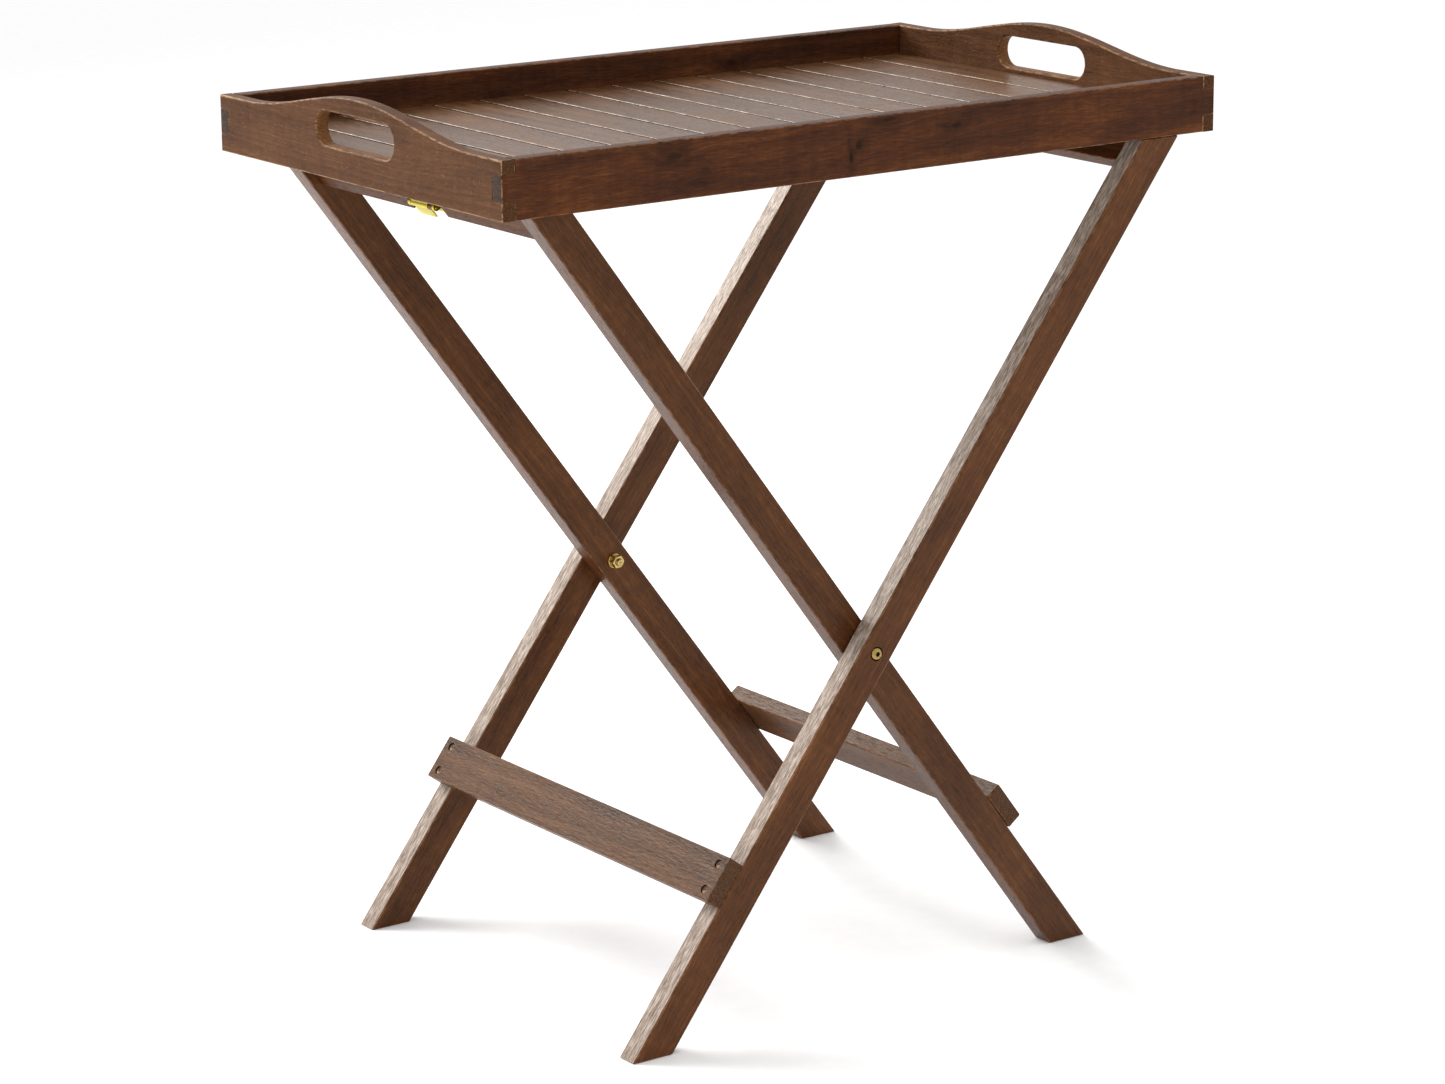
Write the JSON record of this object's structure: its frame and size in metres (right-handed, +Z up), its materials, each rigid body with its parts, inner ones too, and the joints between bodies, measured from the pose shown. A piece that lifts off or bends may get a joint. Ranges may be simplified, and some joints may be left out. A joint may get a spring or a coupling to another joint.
{
  "type": "folding tray table",
  "caption": "Wooden tray table: a lift-off slatted tray with a raised rim and hand slots, on a scissor stand of crossed legs joined by rails and pivot bolts.",
  "frame": {"origin": "on the floor, under the middle of the tray", "axes": "+X along the tray's length, +Y from the front to the back, +Z up"},
  "size_m": [0.688, 0.4128, 0.74],
  "materials": {
    "rim_wood": "dark stained acacia, satin lacquer",
    "slat_wood": "dark stained acacia, satin lacquer",
    "leg_wood": "dark stained acacia, satin lacquer",
    "hidden_wood": "stained acacia, thin lacquer",
    "brass": "bright brass plate, lightly tarnished",
    "screw_steel": "bronzed steel"
  },
  "bodies": {
    "outer_frame": {"leg_outer_front": "leg_wood", "leg_outer_back": "leg_wood", "upper_rail_outer": "leg_wood", "lower_rail_outer": "leg_wood", "rail_screw_outer_front_low": "screw_steel", "rail_screw_outer_front_high": "screw_steel", "rail_screw_outer_back_low": "screw_steel", "rail_screw_outer_back_high": "screw_steel", "pivot_bolt_front": "brass", "pivot_spacer_front": "brass", "pivot_washer_front": "brass", "pivot_nut_front": "brass", "pivot_bolt_back": "brass", "pivot_spacer_back": "brass", "pivot_washer_back": "brass", "pivot_nut_back": "brass", "locating_peg_front": "hidden_wood", "locating_peg_back": "hidden_wood"},
    "inner_frame": {"leg_inner_front": "leg_wood", "leg_inner_back": "leg_wood", "upper_rail_inner": "leg_wood", "lower_rail_inner": "leg_wood", "rail_screw_inner_front_low": "screw_steel", "rail_screw_inner_front_high": "screw_steel", "rail_screw_inner_back_low": "screw_steel", "rail_screw_inner_back_high": "screw_steel", "catch_base": "brass", "catch_pin": "brass", "catch_spring": "screw_steel", "catch_screw_front": "brass", "catch_screw_rear": "brass"},
    "catch_lever": {"catch_lever": "brass"},
    "tray": {"long_side_front": "rim_wood", "long_side_back": "rim_wood", "end_board_left": "rim_wood", "end_board_right": "rim_wood", "slat_01": "slat_wood", "slat_02": "slat_wood", "slat_03": "slat_wood", "slat_04": "slat_wood", "slat_05": "slat_wood", "slat_06": "slat_wood", "slat_07": "slat_wood", "slat_08": "slat_wood", "slat_09": "slat_wood", "slat_10": "slat_wood", "slat_11": "slat_wood", "slat_12": "slat_wood", "slat_13": "slat_wood", "slat_14": "slat_wood", "slat_15": "slat_wood", "floor_ledger_front": "hidden_wood", "floor_ledger_back": "hidden_wood", "latch_batten": "hidden_wood", "peg_batten": "hidden_wood", "catch_keeper": "brass", "keeper_screw_front": "brass", "keeper_screw_back": "brass"}
  },
  "joints": [
    {"name": "stand_fold", "type": "hinge", "parent": "outer_frame", "child": "inner_frame", "pos_m": [0, 0, 0.291], "axis": [0, 1, 0], "range_deg": [0, 71]},
    {"name": "tray_lift", "type": "slide", "parent": "outer_frame", "child": "tray", "axis": [0, 0, 1], "range_m": [0, 0.4465]},
    {"name": "catch_release", "type": "hinge", "parent": "inner_frame", "child": "catch_lever", "pos_m": [-0.28218, 0, 0.65259], "axis": [0, 1, 0], "range_deg": [0, 6], "stiffness_Nm_per_rad": 0.15, "springref_deg": -8.59}
  ],
  "couplings": [
    {"joint": "tray_lift", "follows": "stand_fold", "m_per_rad": 0.36}
  ]
}
